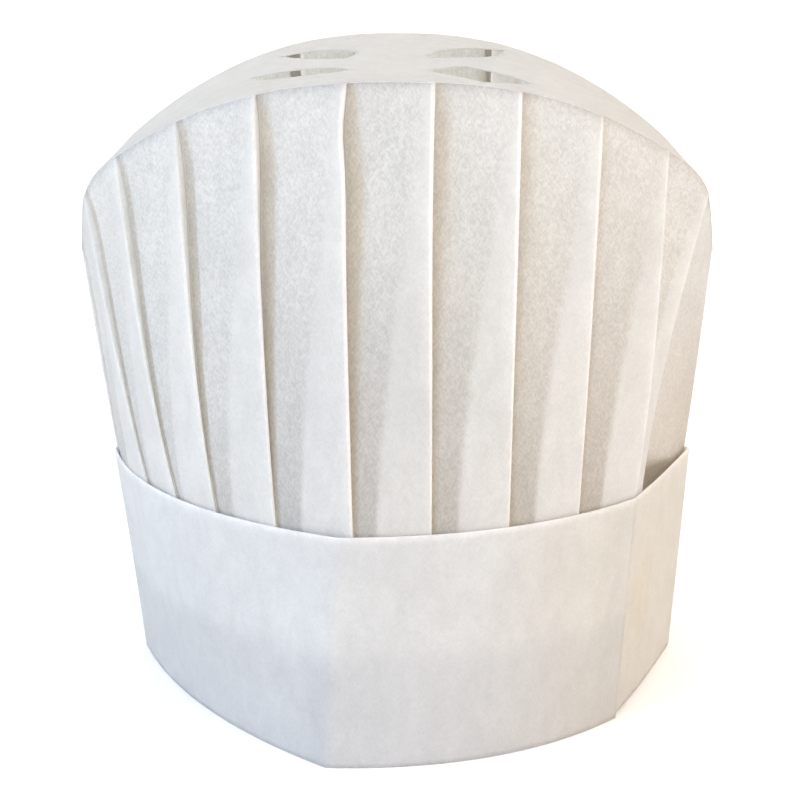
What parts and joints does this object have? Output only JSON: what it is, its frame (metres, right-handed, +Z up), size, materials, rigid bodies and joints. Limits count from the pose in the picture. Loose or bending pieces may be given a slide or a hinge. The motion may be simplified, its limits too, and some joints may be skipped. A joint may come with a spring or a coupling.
{
  "type": "disposable chef hat",
  "caption": "Disposable non-woven chef hat with a plain folded headband, a knife-pleated crown that flares upwards, and a vaulted top panel with leaf-shaped vents.",
  "frame": {"origin": "on the surface that the hat stands on, under the middle of its bounding box", "axes": "+Z up, +X towards the hat's right as seen from the front, -Y towards the front"},
  "size_m": [0.2118, 0.208, 0.2059],
  "materials": {
    "band_cloth": "matte white non-woven",
    "crown_cloth": "matte white non-woven",
    "top_cloth": "matte white non-woven"
  },
  "bodies": {
    "root": {"headband": "band_cloth", "pleated_crown": "crown_cloth", "top_panel": "top_cloth"}
  },
  "joints": []
}
